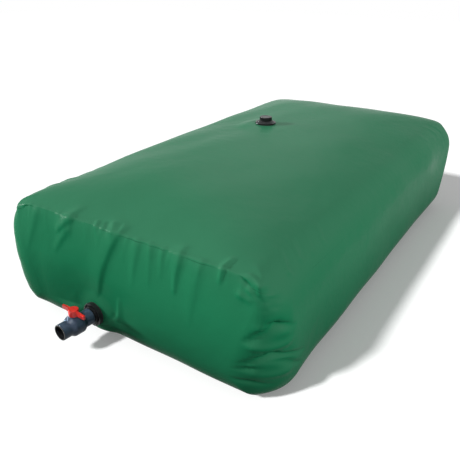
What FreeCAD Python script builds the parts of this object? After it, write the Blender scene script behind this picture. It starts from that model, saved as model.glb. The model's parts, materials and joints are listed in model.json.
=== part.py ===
import FreeCAD, Part
import math
import os
import re
import Sketcher

# Collapsible water tank, shown filled: a welded coated-sheet bag with a ball valve low on its
# front end and a filler neck with a screw cap on top.
# Frame: millimetres, origin at the middle of the flat base, X across, -Y towards the valve, Z up.

NODES_FOLDER = "parts"
ALIAS = re.compile(r"\b[a-z]+(?:_[a-z]+)+\b")

# Driving sizes: alias, value in millimetres (or degrees or a count), and what it is
SIZES = [
    ("tank_length", 2000, "filled bag, end to end"),
    ("tank_width", 1130, "filled bag, side to side at the belly"),
    ("tank_height", 533, "floor to the middle of the top"),
    ("crown_rise", 60, "how far the middle of the top stands over the long top edges"),
    ("end_drop", 20, "how far the end seams lie under the long top edges"),
    ("end_fall_length", 480, "length over which the top falls to an end seam"),
    ("crown_clearance", 3, "how far the end outline runs over the crown"),
    ("roll_radius", 145, "soft roll of the long top edges"),
    ("corner_radius", 70, "upright corners seen from above"),
    ("corner_clearance", 0.6, "how far the corners' outline stands outside the walls"),
    ("tuck_height", 111, "height over which the walls tuck in to the base"),
    ("tuck_side", 97, "how far the long walls tuck in"),
    ("tuck_end", 108, "how far the end walls tuck in"),
    ("wall_lean", 8, "how far the walls lean in where the tuck begins"),
    ("belly_height", 230, "height of the widest level"),
    ("sheet_thickness", 2.4, "sheet with its welded patch, where a fitting clamps it"),
    ("pad_rise", 5, "how far the sheet bulges out round the outlet"),
    ("pad_radius", 52, "flat round pad that a fitting clamps"),
    ("pad_spread", 25, "how much wider the bulge round a fitting gets at its foot"),
    ("pad_depth", 36, "height of the bulge round a fitting"),
    ("fold_width", 95, "round of the largest fold's back where it hangs from the seam"),
    ("fold_relief", 9, "how far the largest fold stands out"),
    ("pucker_count", 25, "puckers along one end seam"),
    ("pucker_length", 70, "length of the longest pucker"),
    ("pucker_radius", 15, "round of a pucker's back"),
    ("outlet_across", -146, "outlet axis, from the middle of the front end"),
    ("outlet_height", 112, "outlet axis above the floor"),
    ("outlet_yaw", 5, "degrees that the outlet points away from the long axis"),
    ("vent_across", -160, "filler neck, from the middle of the top"),
    ("vent_along", 202, "filler neck, from the middle of the top"),
    ("vent_drop", 7, "how far the filler neck's pad lies under the highest level"),
    ("thread_diameter", 47.4, "outside of the threaded spigots"),
    ("thread_clearance", 0.3, "gap between a threaded spigot and what turns on it, all round"),
    ("spigot_bore", 38, "waterway through the spigots"),
    ("flange_thickness", 6, "flange of a spigot inside the bag"),
    ("gasket_thickness", 3, "flat gaskets on both faces of the sheet"),
    ("pocket_clearance", 1, "water gap round the flange inside the bag"),
    ("inlet_depth", 40, "open water behind the flange"),
    ("outlet_flange", 86, "outside of the outlet's flange and ring nut"),
    ("ring_thickness", 12, "outlet ring nut at its rim"),
    ("ring_rim", 4, "width of the ring nut's raised rim"),
    ("ring_dish", 5.5, "depth of the dish in the ring nut"),
    ("ring_hub_diameter", 65, "hub of the ring nut"),
    ("ring_hub_rise", 6, "how far the hub stands over the rim"),
    ("valve_gap", 2, "gap between the ring nut and the valve"),
    ("valve_length", 124, "valve body, end to end"),
    ("socket_diameter", 57.5, "outside of the valve's sockets"),
    ("socket_bore", 48, "threaded bore of the sockets"),
    ("socket_depth", 26, "depth of the sockets"),
    ("belly_diameter", 73, "valve body round the ball"),
    ("belly_length", 34, "length of the valve's full round part"),
    ("shoulder_length", 13, "slope from the belly to a socket"),
    ("shoulder_round", 9, "rounding of the slopes"),
    ("mouth_chamfer", 1.5, "bevel of the socket ends"),
    ("ball_diameter", 44, "ball"),
    ("ball_bore", 30, "waterway through the ball and the body"),
    ("chamber_clearance", 0.6, "gap between the ball and its chamber"),
    ("seat_thickness", 9, "seat rings"),
    ("seat_setback", 1, "gap between the ball's pole and the back of a seat ring"),
    ("seat_clearance", 0.15, "running gap between ball and seat"),
    ("retainer_thickness", 8, "ring that holds the front seat"),
    ("retainer_slot", 6, "width of the retainer's key slots"),
    ("retainer_slot_depth", 3, "depth of the retainer's key slots"),
    ("o_ring_section", 2, "thickness of the O-rings"),
    ("groove_clearance", 0.04, "gap round an O-ring in its groove"),
    ("tower_diameter", 35, "round tower that carries the stem"),
    ("tower_height", 38, "top of the tower above the pipe axis"),
    ("stem_diameter", 14, "stem journal"),
    ("running_clearance", 0.08, "running gap of the stem in the tower"),
    ("tang_width", 12, "tang that turns the ball"),
    ("tang_thickness", 5, "tang that turns the ball"),
    ("tang_depth", 5, "how far the tang reaches into the ball"),
    ("collar_diameter", 18, "collar that keeps the stem from blowing out"),
    ("collar_height", 2.5, "collar of the stem"),
    ("ring_spacing", 5, "from one O-ring of the stem to the other"),
    ("key_clearance", 0.2, "gap at the tang and at the stem's flats"),
    ("stem_square", 9, "square at the top of the stem"),
    ("stem_head", 15, "length of the square, inside the handle"),
    ("hub_diameter", 36, "round hub of the handle"),
    ("hub_gap", 1.5, "gap between tower and handle"),
    ("hub_height", 23, "height of the hub"),
    ("handle_length", 116, "handle, tip to tip"),
    ("blade_thickness", 8, "blades of the handle"),
    ("blade_root", 17, "height of a blade at the hub"),
    ("blade_tip", 12, "height of a blade at its tip"),
    ("blade_drop", 3, "step from the top of the hub to the blades"),
    ("blade_slope", 3, "fall of a blade's top edge from hub to tip"),
    ("handle_round", 1.5, "rounding of the hub's rim and the blade tips"),
    ("cap_diameter", 60, "filler cap"),
    ("cap_height", 16, "filler cap"),
    ("cap_wall", 3.5, "top of the filler cap"),
    ("cap_ribs", 24, "grip grooves round the cap"),
    ("cap_rib_radius", 2, "grip grooves round the cap"),
    ("neck_height", 26, "top of the filler neck above its pad"),
    ("cap_gasket_thickness", 2, "flat ring in the cap"),
    ("vent_flange_diameter", 98, "flange and ring nut of the filler neck"),
    ("vent_rim", 4, "thickness of the filler ring nut at its rim"),
    ("vent_cone_foot", 90, "foot of the filler ring nut's cone"),
    ("vent_cone_top", 62, "top of the filler ring nut's cone"),
    ("cap_gap", 0.5, "gap between the cap's skirt and the ring nut"),
    ("overrun", 10, "how far a solid that cuts runs past what it cuts"),
]

document = FreeCAD.newDocument("water_tank")
sheet = document.addObject("Spreadsheet::Sheet", "Sizes")
for row, (alias, amount, note) in enumerate(SIZES, start=1):
    sheet.set(f"A{row}", note)
    sheet.set(f"B{row}", str(amount))
    sheet.setAlias(f"B{row}", alias)
document.recompute()


def value(text):
    """The number that an expression on the sheet's sizes gives; bare aliases are sheet cells."""
    return float(sheet.evalExpression(text))


# Expressions that more than one piece uses
THREAD_RADIUS = "thread_diameter / 2"
NUT_BORE = "thread_diameter / 2 + thread_clearance"
BORE_RADIUS = "spigot_bore / 2"
OUTLET_RADIUS = "outlet_flange / 2"
VENT_RADIUS = "vent_flange_diameter / 2"
RING_FOOT = "pad_rise + gasket_thickness"
RING_FACE = RING_FOOT + " + ring_thickness"
VALVE_FOOT = RING_FACE + " + ring_hub_rise + valve_gap"
SOCKET_FLOOR = VALVE_FOOT + " + socket_depth"
SPIGOT_END = SOCKET_FLOOR + " - gasket_thickness"
STEM_AXIS = VALVE_FOOT + " + valve_length / 2"
VALVE_MOUTH = VALVE_FOOT + " + valve_length"
MOUTH_FLOOR = VALVE_MOUTH + " - socket_depth"
SOCKET_RADIUS = "socket_bore / 2"
BALL_RADIUS = "ball_diameter / 2"
WATERWAY = "ball_bore / 2"
CHAMBER_RADIUS = "ball_diameter / 2 + chamber_clearance"
SEAT_BACK = "ball_diameter / 2 + seat_setback"
STEM_RADIUS = "stem_diameter / 2"
STEM_BORE = "stem_diameter / 2 + running_clearance"
COLLAR_TOP = CHAMBER_RADIUS + " + key_clearance + collar_height"
HUB_FOOT = "tower_height + hub_gap"
HUB_TOP = HUB_FOOT + " + hub_height"
CAP_CEILING = "neck_height + cap_gasket_thickness"
CAP_TOP = CAP_CEILING + " + cap_wall"
CAP_FOOT = CAP_TOP + " - cap_height"


def bind(item, name, text):
    """Ties a property or a constraint to an expression on the sheet."""
    item.setExpression(name, ALIAS.sub(r"Sizes.\g<0>", text))


def new_body(label):
    body = document.addObject("PartDesign::Body", label)
    body.Label = label
    return body


def outline(body, name, plane_role, corners):
    """A closed sketch through corners whose two coordinates are expressions on the sheet."""
    sketch = body.newObject("Sketcher::SketchObject", name)
    plane = next(item for item in body.Origin.OriginFeatures if item.Role == plane_role)
    sketch.AttachmentSupport = [(plane, "")]
    sketch.MapMode = "FlatFace"
    points = [FreeCAD.Vector(value(across), value(up), 0) for across, up in corners]
    for here, there in zip(points, points[1:] + points[:1]):
        sketch.addGeometry(Part.LineSegment(here, there), False)
    for index, texts in enumerate(corners):
        sketch.addConstraint(Sketcher.Constraint("Coincident", index, 2, (index + 1) % len(corners), 1))
        for kind, text in zip(("DistanceX", "DistanceY"), texts):
            at = sketch.addConstraint(Sketcher.Constraint(kind, -1, 1, index, 1, value(text)))
            bind(sketch, f"Constraints[{at}]", text)
    return sketch


def turn(body, corners, cut=False):
    """Turns an outline of (radius, height) corners about the body's Z axis, as metal or as a groove."""
    kind = "Groove" if cut else "Revolution"
    sketch = outline(body, kind.lower() + "_outline", "XZ_Plane", corners)
    feature = body.newObject("PartDesign::" + kind, kind.lower())
    feature.Profile = sketch
    feature.ReferenceAxis = (sketch, ["V_Axis"])
    feature.Angle = 360
    return feature


def ring(label, inner, outer, low, high):
    """A flat washer, gasket or ring from four expressions."""
    body = new_body(label)
    turn(body, [(inner, low), (outer, low), (outer, high), (inner, high)])
    return body


def primitive(body, kind, name, sizes, base=("0", "0", "0"), rotation=FreeCAD.Rotation()):
    """An additive or subtractive primitive with bound sizes and place."""
    feature = body.newObject("PartDesign::" + kind, name)
    feature.Placement = FreeCAD.Placement(FreeCAD.Vector(*[value(text) for text in base]), rotation)
    for key, text in sizes.items():
        bind(feature, key, text)
    for key, text in zip("xyz", base):
        bind(feature, "Placement.Base." + key, text)
    return feature


def place(piece, frame, along="0"):
    """Puts a piece in a frame of (origin expressions, rotation), moved along the frame's Z."""
    origin, rotation = frame
    shift = rotation.multVec(FreeCAD.Vector(0, 0, 1))
    piece.Placement = FreeCAD.Placement(FreeCAD.Vector(*[value(text) for text in origin]), rotation)
    for key, text, share in zip("xyz", origin, shift):
        bind(piece, "Placement.Base." + key, f"{text} + ({along}) * {share:.9f}")
    return piece


def edges_at(shape, radius, height):
    """Names of the round edges about Z of one radius at one height."""
    names = []
    for index, edge in enumerate(shape.Edges, start=1):
        curve = edge.Curve
        if isinstance(curve, Part.Circle) and abs(curve.Axis.z) > 0.99:
            if abs(curve.Radius - radius) < 0.01 and abs(curve.Center.z - height) < 0.01:
                names.append(f"Edge{index}")
    return names


# The outlet's frame: Z out along the pipe, Y up. The stem's frame: Z up, X along the handle.
# The filler neck's frame: Z up, at its pad.
yaw = FreeCAD.Rotation(FreeCAD.Vector(0, 0, 1), -value("outlet_yaw"))
pipe_turn = yaw.multiply(FreeCAD.Rotation(FreeCAD.Vector(1, 0, 0), 90))
pipe_axis = pipe_turn.multVec(FreeCAD.Vector(0, 0, 1))
OUTLET = (("outlet_across", "-tank_length / 2", "outlet_height"), pipe_turn)
STEM = (
    (
        f"outlet_across + ({STEM_AXIS}) * {pipe_axis.x:.9f}",
        f"-tank_length / 2 + ({STEM_AXIS}) * {pipe_axis.y:.9f}",
        "outlet_height",
    ),
    yaw,
)
VENT = (("vent_across", "vent_along", "tank_height - vent_drop"), FreeCAD.Rotation())


# Outlet fitting: a flanged spigot from inside, clamped to the sheet by a ring nut

def clamped_spigot(label, flange_radius, pad, end):
    """A threaded tube with a flange that pulls up against the inside of the sheet."""
    body = new_body(label)
    face = f"{pad} - sheet_thickness - gasket_thickness"
    turn(body, [
        (BORE_RADIUS, face + " - flange_thickness"),
        (flange_radius, face + " - flange_thickness"),
        (flange_radius, face),
        (THREAD_RADIUS, face),
        (THREAD_RADIUS, end),
        (BORE_RADIUS, end),
    ])
    return body


def sheet_gaskets(name, flange_radius, pad):
    """The two flat gaskets on the inside and the outside of the sheet."""
    inner = f"{pad} - sheet_thickness"
    return (
        ring(f"{name}_inner_gasket", NUT_BORE, flange_radius, inner + " - gasket_thickness", inner),
        ring(f"{name}_outer_gasket", NUT_BORE, flange_radius, pad, pad + " + gasket_thickness"),
    )


def outlet_ring_nut():
    """A round nut with a raised rim, a dished face and a hub."""
    body = new_body("outlet_ring_nut")
    rim = OUTLET_RADIUS + " - ring_rim"
    hub = "ring_hub_diameter / 2"
    turn(body, [
        (NUT_BORE, RING_FOOT),
        (OUTLET_RADIUS, RING_FOOT),
        (OUTLET_RADIUS, RING_FACE),
        (rim, RING_FACE),
        (rim, RING_FACE + " - ring_dish"),
        (hub, RING_FACE + " - ring_dish"),
        (hub, RING_FACE + " + ring_hub_rise"),
        (NUT_BORE, RING_FACE + " + ring_hub_rise"),
    ])
    return body


# Ball valve

def valve_body():
    """One moulded body: two sockets, a belly round the ball and a tower for the stem."""
    body = new_body("valve_body")
    socket = "socket_diameter / 2"
    belly = "belly_diameter / 2"
    belly_foot = f"{STEM_AXIS} - belly_length / 2"
    belly_end = f"{STEM_AXIS} + belly_length / 2"
    skin = turn(body, [
        ("0", VALVE_FOOT),
        (socket + " - mouth_chamfer", VALVE_FOOT),
        (socket, VALVE_FOOT + " + mouth_chamfer"),
        (socket, belly_foot + " - shoulder_length"),
        (belly, belly_foot),
        (belly, belly_end),
        (socket, belly_end + " + shoulder_length"),
        (socket, VALVE_MOUTH + " - mouth_chamfer"),
        (socket + " - mouth_chamfer", VALVE_MOUTH),
        ("0", VALVE_MOUTH),
    ])
    document.recompute()
    round_edges = []
    for radius, height in (
        (socket, belly_foot + " - shoulder_length"),
        (belly, belly_foot),
        (belly, belly_end),
        (socket, belly_end + " + shoulder_length"),
    ):
        round_edges += edges_at(skin.Shape, value(radius), value(height))
    softened = body.newObject("PartDesign::Fillet", "soft_shoulders")
    softened.Base = (skin, round_edges)
    bind(softened, "Radius", "shoulder_round")
    primitive(
        body, "AdditiveCylinder", "tower", {"Radius": "tower_diameter / 2", "Height": "tower_height"},
        ("0", "0", STEM_AXIS), FreeCAD.Rotation(FreeCAD.Vector(1, 0, 0), -90),
    )
    turn(body, [
        ("0", VALVE_FOOT + " - mouth_chamfer"),
        (SOCKET_RADIUS, VALVE_FOOT + " - mouth_chamfer"),
        (SOCKET_RADIUS, SOCKET_FLOOR),
        (WATERWAY, SOCKET_FLOOR),
        (WATERWAY, f"{STEM_AXIS} - ({SEAT_BACK})"),
        (CHAMBER_RADIUS, f"{STEM_AXIS} - ({SEAT_BACK})"),
        (CHAMBER_RADIUS, MOUTH_FLOOR),
        (SOCKET_RADIUS, MOUTH_FLOOR),
        (SOCKET_RADIUS, VALVE_MOUTH + " + mouth_chamfer"),
        ("0", VALVE_MOUTH + " + mouth_chamfer"),
    ], cut=True)
    upright = FreeCAD.Rotation(FreeCAD.Vector(1, 0, 0), -90)
    primitive(
        body, "SubtractiveCylinder", "collar_pocket",
        {"Radius": "collar_diameter / 2 + key_clearance", "Height": COLLAR_TOP + " + key_clearance"},
        ("0", "0", STEM_AXIS), upright,
    )
    primitive(
        body, "SubtractiveCylinder", "stem_bore", {"Radius": STEM_BORE, "Height": "tower_height * 2"},
        ("0", "0", STEM_AXIS), upright,
    )
    return body


def seat_ring(label, side):
    """A seat ring with a hollow face that fits the ball; side is -1 behind it and 1 in front."""
    body = new_body(label)
    back = f"{STEM_AXIS} + {side} * ({SEAT_BACK})"
    face = f"{back} - {side} * seat_thickness"
    low, high = (back, face) if side < 0 else (face, back)
    outer = CHAMBER_RADIUS + " - chamber_clearance / 2"
    turn(body, [(WATERWAY, low), (outer, low), (outer, high), (WATERWAY, high)])
    primitive(
        body, "SubtractiveSphere", "ball_face", {"Radius": BALL_RADIUS + " + seat_clearance"},
        ("0", "0", STEM_AXIS),
    )
    return body


def seat_retainer():
    """A threaded ring with an O-ring groove and two key slots, behind the mouth."""
    body = new_body("seat_retainer")
    foot = f"{STEM_AXIS} + {SEAT_BACK}"
    outer = CHAMBER_RADIUS + " - thread_clearance"
    groove = outer + " - o_ring_section"
    middle = foot + " + retainer_thickness / 2"
    turn(body, [
        (WATERWAY, foot),
        (outer, foot),
        (outer, middle + " - o_ring_section / 2 - groove_clearance"),
        (groove, middle + " - o_ring_section / 2 - groove_clearance"),
        (groove, middle + " + o_ring_section / 2 + groove_clearance"),
        (outer, middle + " + o_ring_section / 2 + groove_clearance"),
        (outer, foot + " + retainer_thickness"),
        (WATERWAY, foot + " + retainer_thickness"),
    ])
    primitive(
        body, "SubtractiveBox", "key_slot",
        {"Length": "ball_diameter * 2", "Width": "retainer_slot", "Height": "retainer_slot_depth * 2"},
        ("-ball_diameter", "-retainer_slot / 2", foot + " + retainer_thickness - retainer_slot_depth"),
    )
    return body


def o_ring(label, outer, height):
    """A round-section ring about Z whose outside has a given radius."""
    item = document.addObject("Part::Torus", label)
    item.Label = label
    bind(item, "Radius1", f"{outer} - o_ring_section / 2")
    bind(item, "Radius2", "o_ring_section / 2")
    bind(item, "Placement.Base.z", height)
    return item


def valve_ball():
    """The ball, closed: its bore lies across the pipe and the slot for the tang along it."""
    body = new_body("valve_ball")
    primitive(body, "AdditiveSphere", "ball", {"Radius": BALL_RADIUS})
    primitive(
        body, "SubtractiveCylinder", "waterway", {"Radius": WATERWAY, "Height": "ball_diameter * 2"},
        ("-ball_diameter", "0", "0"), FreeCAD.Rotation(FreeCAD.Vector(0, 1, 0), 90),
    )
    slot = "tang_thickness + 2 * key_clearance"
    primitive(
        body, "SubtractiveBox", "tang_slot",
        {"Length": slot, "Width": "ball_diameter", "Height": "tang_depth * 2"},
        (f"-({slot}) / 2", "-ball_diameter / 2", BALL_RADIUS + " - tang_depth - key_clearance"),
    )
    return body


STEM_RINGS = (f"{COLLAR_TOP} + ring_spacing / 2 + o_ring_section / 2",
              f"{COLLAR_TOP} + ring_spacing * 3 / 2 + o_ring_section / 2")


def valve_stem():
    """A collar, a journal with two O-ring grooves, a tang below and a square on top."""
    body = new_body("valve_stem")
    groove = STEM_RADIUS + " - o_ring_section"
    corners = [("0", COLLAR_TOP + " - collar_height"), ("collar_diameter / 2", COLLAR_TOP + " - collar_height"),
               ("collar_diameter / 2", COLLAR_TOP), (STEM_RADIUS, COLLAR_TOP)]
    for middle in STEM_RINGS:
        low = middle + " - o_ring_section / 2 - groove_clearance"
        high = middle + " + o_ring_section / 2 + groove_clearance"
        corners += [(STEM_RADIUS, low), (groove, low), (groove, high), (STEM_RADIUS, high)]
    corners += [(STEM_RADIUS, HUB_FOOT), ("0", HUB_FOOT)]
    turn(body, corners)
    primitive(
        body, "AdditiveBox", "tang",
        {"Length": "tang_thickness", "Width": "tang_width", "Height": f"{COLLAR_TOP} - {BALL_RADIUS} + tang_depth"},
        ("-tang_thickness / 2", "-tang_width / 2", BALL_RADIUS + " - tang_depth"),
    )
    primitive(
        body, "AdditiveBox", "square",
        {"Length": "stem_square", "Width": "stem_square", "Height": "stem_head + hub_gap"},
        ("-stem_square / 2", "-stem_square / 2", HUB_FOOT + " - hub_gap"),
    )
    return body


def valve_handle():
    """A round hub with two upright blades that taper to their tips, and a square socket below."""
    body = new_body("valve_handle")
    hub = "hub_diameter / 2"
    primitive(
        body, "AdditiveCylinder", "hub", {"Radius": hub, "Height": "hub_height"}, ("0", "0", HUB_FOOT),
    )
    top = HUB_TOP + " - blade_drop"
    tip = "handle_length / 2"
    blades = outline(body, "blade_outline", "XZ_Plane", [
        (f"-({tip})", top + " - blade_slope - blade_tip"),
        (f"-({hub})", top + " - blade_root"),
        (hub, top + " - blade_root"),
        (tip, top + " - blade_slope - blade_tip"),
        (tip, top + " - blade_slope"),
        (hub, top),
        (f"-({hub})", top),
        (f"-({tip})", top + " - blade_slope"),
    ])
    pad = body.newObject("PartDesign::Pad", "blades")
    pad.Profile = blades
    pad.SideType = "Symmetric"
    bind(pad, "Length", "blade_thickness")
    document.recompute()
    softened = body.newObject("PartDesign::Fillet", "soft_edges")
    names = []
    for index, edge in enumerate(pad.Shape.Edges, start=1):
        middle = edge.BoundBox.Center
        if abs(middle.x) > value(tip) - 0.01 and edge.BoundBox.ZLength > value("blade_tip") / 2:
            names.append(f"Edge{index}")
    names += edges_at(pad.Shape, value(hub), value(HUB_TOP))
    softened.Base = (pad, names)
    bind(softened, "Radius", "handle_round")
    socket = "stem_square + 2 * key_clearance"
    primitive(
        body, "SubtractiveBox", "stem_socket",
        {"Length": socket, "Width": socket, "Height": "stem_head + key_clearance + hub_gap"},
        (f"-({socket}) / 2", f"-({socket}) / 2", HUB_FOOT + " - hub_gap"),
    )
    return body


# Filler neck

def vent_ring_nut():
    """A rimmed nut whose cone rises to the cap."""
    body = new_body("vent_ring_nut")
    rim = "gasket_thickness + vent_rim"
    top = CAP_FOOT + " - cap_gap"
    turn(body, [
        (NUT_BORE, "gasket_thickness"),
        (VENT_RADIUS, "gasket_thickness"),
        (VENT_RADIUS, rim),
        ("vent_cone_foot / 2", rim),
        ("vent_cone_top / 2", top),
        (NUT_BORE, top),
    ])
    return body


def vent_cap():
    """A screw cap: a plain bore for the neck's thread and grip grooves all round."""
    body = new_body("vent_cap")
    turn(body, [
        (NUT_BORE, CAP_FOOT),
        ("cap_diameter / 2", CAP_FOOT),
        ("cap_diameter / 2", CAP_TOP + " - mouth_chamfer"),
        ("cap_diameter / 2 - mouth_chamfer", CAP_TOP),
        ("0", CAP_TOP),
        ("0", CAP_CEILING),
        (NUT_BORE, CAP_CEILING),
    ])
    groove = primitive(
        body, "SubtractiveCylinder", "grip_groove", {"Radius": "cap_rib_radius", "Height": "cap_height * 3"},
        ("cap_diameter / 2 + cap_rib_radius / 2", "0", CAP_FOOT + " - cap_height"),
    )
    pattern = body.newObject("PartDesign::PolarPattern", "grip")
    pattern.Originals = [groove]
    pattern.Axis = (next(item for item in body.Origin.OriginFeatures if item.Role == "Z_Axis"), [""])
    pattern.Angle = 360
    bind(pattern, "Occurrences", "cap_ribs")
    body.Tip = pattern
    return body


# Bag: a closed body of water in its sheet, soft where the sheet rolls and sharp at the end seams

HALF_LENGTH = value("tank_length / 2")
HALF_WIDTH = value("tank_width / 2")
EDGE_LEVEL = value("tank_height - crown_rise")
SEAM_LEVEL = value("tank_height - crown_rise - end_drop")
OVERRUN = value("overrun")
DIAGONAL = math.sqrt(0.5)


def arc(start, middle, end):
    return Part.Arc(start, middle, end).toShape()


def tucked_wall(half, tuck, at, top):
    """One side of a wall outline and its mirror image: tuck, leaning wall and upright wall."""
    lean = value("wall_lean")
    tuck_height = value("tuck_height")
    belly = value("belly_height")
    edges = []
    for sign in (-1, 1):
        edges.append(arc(
            at(sign * (half - tuck), 0),
            at(sign * (half - lean - (tuck - lean) * (1 - DIAGONAL)), tuck_height * (1 - DIAGONAL)),
            at(sign * (half - lean), tuck_height),
        ))
        edges.append(arc(
            at(sign * (half - lean), tuck_height),
            at(sign * (half - lean / 4), (tuck_height + belly) / 2),
            at(sign * half, belly),
        ))
        edges.append(Part.makeLine(at(sign * half, belly), at(sign * half, top)))
    return edges


def wrap():
    """The wrap sheet's outline seen from the end: walls, rolls and crown, all tangent, run lengthwise."""
    def at(across, level):
        return FreeCAD.Vector(across, -HALF_LENGTH - OVERRUN, level)

    roll = value("roll_radius")
    rise = value("crown_rise")
    # The crown's end slope follows from its rise over the width that the rolls leave
    slope = 0
    for _ in range(30):
        slope = 2 * math.atan(rise / (HALF_WIDTH - roll * (1 - math.sin(slope))))
    foot = EDGE_LEVEL - roll * math.cos(slope)
    half_turn = (math.pi / 2 - slope) / 2

    def on_roll(sign, angle):
        return at(sign * (HALF_WIDTH - roll * (1 - math.cos(angle))), foot + roll * math.sin(angle))

    edges = tucked_wall(HALF_WIDTH, value("tuck_side"), at, foot)
    edges.append(Part.makeLine(at(value("tuck_side") - HALF_WIDTH, 0), at(HALF_WIDTH - value("tuck_side"), 0)))
    edges += [arc(on_roll(sign, 0), on_roll(sign, half_turn), on_roll(sign, 2 * half_turn)) for sign in (-1, 1)]
    edges.append(arc(on_roll(-1, 2 * half_turn), at(0, EDGE_LEVEL + rise), on_roll(1, 2 * half_turn)))
    face = Part.Face(Part.Wire(Part.__sortEdges__(edges)))
    return face.extrude(FreeCAD.Vector(0, 2 * (HALF_LENGTH + OVERRUN), 0))


def side_outline(edges):
    """A closed outline seen from the side, run across the bag."""
    face = Part.Face(Part.Wire(Part.__sortEdges__(edges)))
    return face.extrude(FreeCAD.Vector(2 * (HALF_WIDTH + OVERRUN), 0, 0))


def beside(along, level):
    return FreeCAD.Vector(-HALF_WIDTH - OVERRUN, along, level)


def ends():
    """The end panels seen from the side, tucked in to the base, up to over the crown."""
    top = value("tank_height") + OVERRUN
    base = HALF_LENGTH - value("tuck_end")
    edges = tucked_wall(HALF_LENGTH, value("tuck_end"), beside, top)
    edges.append(Part.makeLine(beside(-base, 0), beside(base, 0)))
    edges.append(Part.makeLine(beside(-HALF_LENGTH, top), beside(HALF_LENGTH, top)))
    return side_outline(edges)


def fall():
    """What lies under the top as it sinks to the end seams, in one arc that runs on past them."""
    top = value("tank_height + crown_clearance")
    run = value("end_fall_length")
    drop = top - SEAM_LEVEL
    radius = (run ** 2 + drop ** 2) / (2 * drop)
    full_turn = math.asin((run + 2 * OVERRUN) / radius)
    far = HALF_LENGTH + 2 * OVERRUN

    def on_arc(sign, angle):
        return beside(sign * (HALF_LENGTH - run + radius * math.sin(angle)), top - radius * (1 - math.cos(angle)))

    edges = [
        Part.makeLine(beside(-far, -OVERRUN), beside(far, -OVERRUN)),
        Part.makeLine(on_arc(-1, 0), on_arc(1, 0)),
    ]
    for sign in (-1, 1):
        edges.append(arc(on_arc(sign, 0), on_arc(sign, full_turn / 2), on_arc(sign, full_turn)))
        edges.append(Part.makeLine(on_arc(sign, full_turn), beside(sign * far, -OVERRUN)))
    return side_outline(edges)


def plan():
    """Rounded upright corners, seen from above; its flat sides stay just clear of the walls."""
    half_width = HALF_WIDTH + value("corner_clearance")
    half_length = HALF_LENGTH + value("corner_clearance")
    box = Part.makeBox(2 * half_width, 2 * half_length, value("tank_height") + 2 * OVERRUN,
                       FreeCAD.Vector(-half_width, -half_length, -OVERRUN / 2))
    corners = [edge for edge in box.Edges if abs(edge.tangentAt(edge.FirstParameter).z) > 0.99]
    return box.makeFillet(value("corner_radius"), corners)


def tapered(start, end, start_radius, end_radius):
    """A cone from one point to another."""
    run = end - start
    return Part.makeCone(start_radius, end_radius, run.Length, start, run)


def fold(start, end, outward, radii, relief):
    """A ridge's cone, its radii in fold widths, sunk to stand out by the relief and taper to nothing."""
    first, last = (share * value("fold_width") for share in radii)
    return tapered(start - outward * (first - relief), end - outward * last * 1.05, first, last)


def crease(start, end, outward, radii, depth):
    """A crease's cone, its radii in fold widths, raised to bite in by the depth at its start."""
    first, last = (share * value("fold_width") for share in radii)
    return tapered(start + outward * (first - depth), end + outward * last * 1.05, first, last)


def on_end(side, across, up):
    """A point of an end wall: shares of the half width and of the seam's height."""
    return FreeCAD.Vector(across * HALF_WIDTH, side * HALF_LENGTH, up * SEAM_LEVEL)


def end_folds(side):
    """The long folds that hang from the seam of one end wall."""
    outward = FreeCAD.Vector(0, side, 0)
    relief = value("fold_relief")
    ridges = [
        fold(on_end(side, -0.08, 0.99), on_end(side, -0.29, 0.38), outward, (1.0, 0.15), relief),
        fold(on_end(side, 0.395, 0.99), on_end(side, 0.39, 0.72), outward, (0.44, 0.08), relief * 0.9),
        fold(on_end(side, -0.36, 1.0), on_end(side, -0.52, 0.84), outward, (0.36, 0.08), relief * 0.8),
        fold(on_end(side, 0.70, 1.0), on_end(side, 0.685, 0.88), outward, (0.23, 0.06), relief * 0.6),
        fold(on_end(side, -0.83, 0.98), on_end(side, -0.86, 0.78), outward, (0.32, 0.08), relief * 0.4),
    ]
    dents = [
        crease(on_end(side, 0.03, 0.98), on_end(side, -0.22, 0.42), outward, (0.63, 0.13), relief * 0.5),
        crease(on_end(side, 0.30, 0.95), on_end(side, 0.29, 0.70), outward, (0.38, 0.08), relief * 0.4),
        crease(on_end(side, 0.52, 0.90), on_end(side, 0.48, 0.50), outward, (1.6, 0.63), relief * 0.4),
    ]
    return ridges, dents


def seam_puckers(side):
    """Short ridges all along an end seam, uneven as a weld pulls them."""
    outward = FreeCAD.Vector(0, side, 0)
    count = int(value("pucker_count"))
    ridges = []
    for index in range(count):
        uneven = 0.5 + 0.5 * math.sin(index * 2.4 + side)
        across = (-0.78 + 1.56 * (index + 0.3 * math.sin(index * 1.7)) / (count - 1)) * HALF_WIDTH
        length = value("pucker_length") * (0.35 + 0.65 * uneven)
        top = FreeCAD.Vector(across, side * HALF_LENGTH, SEAM_LEVEL - OVERRUN / 10)
        foot = top + FreeCAD.Vector(length * 0.25 * math.sin(index * 1.1), 0, -length)
        radius = value("pucker_radius / fold_width") * (0.7 + 0.3 * uneven)
        ridges.append(fold(top, foot, outward, (radius, radius / 4), value("fold_relief") * (0.2 + 0.25 * uneven)))
    return ridges


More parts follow.
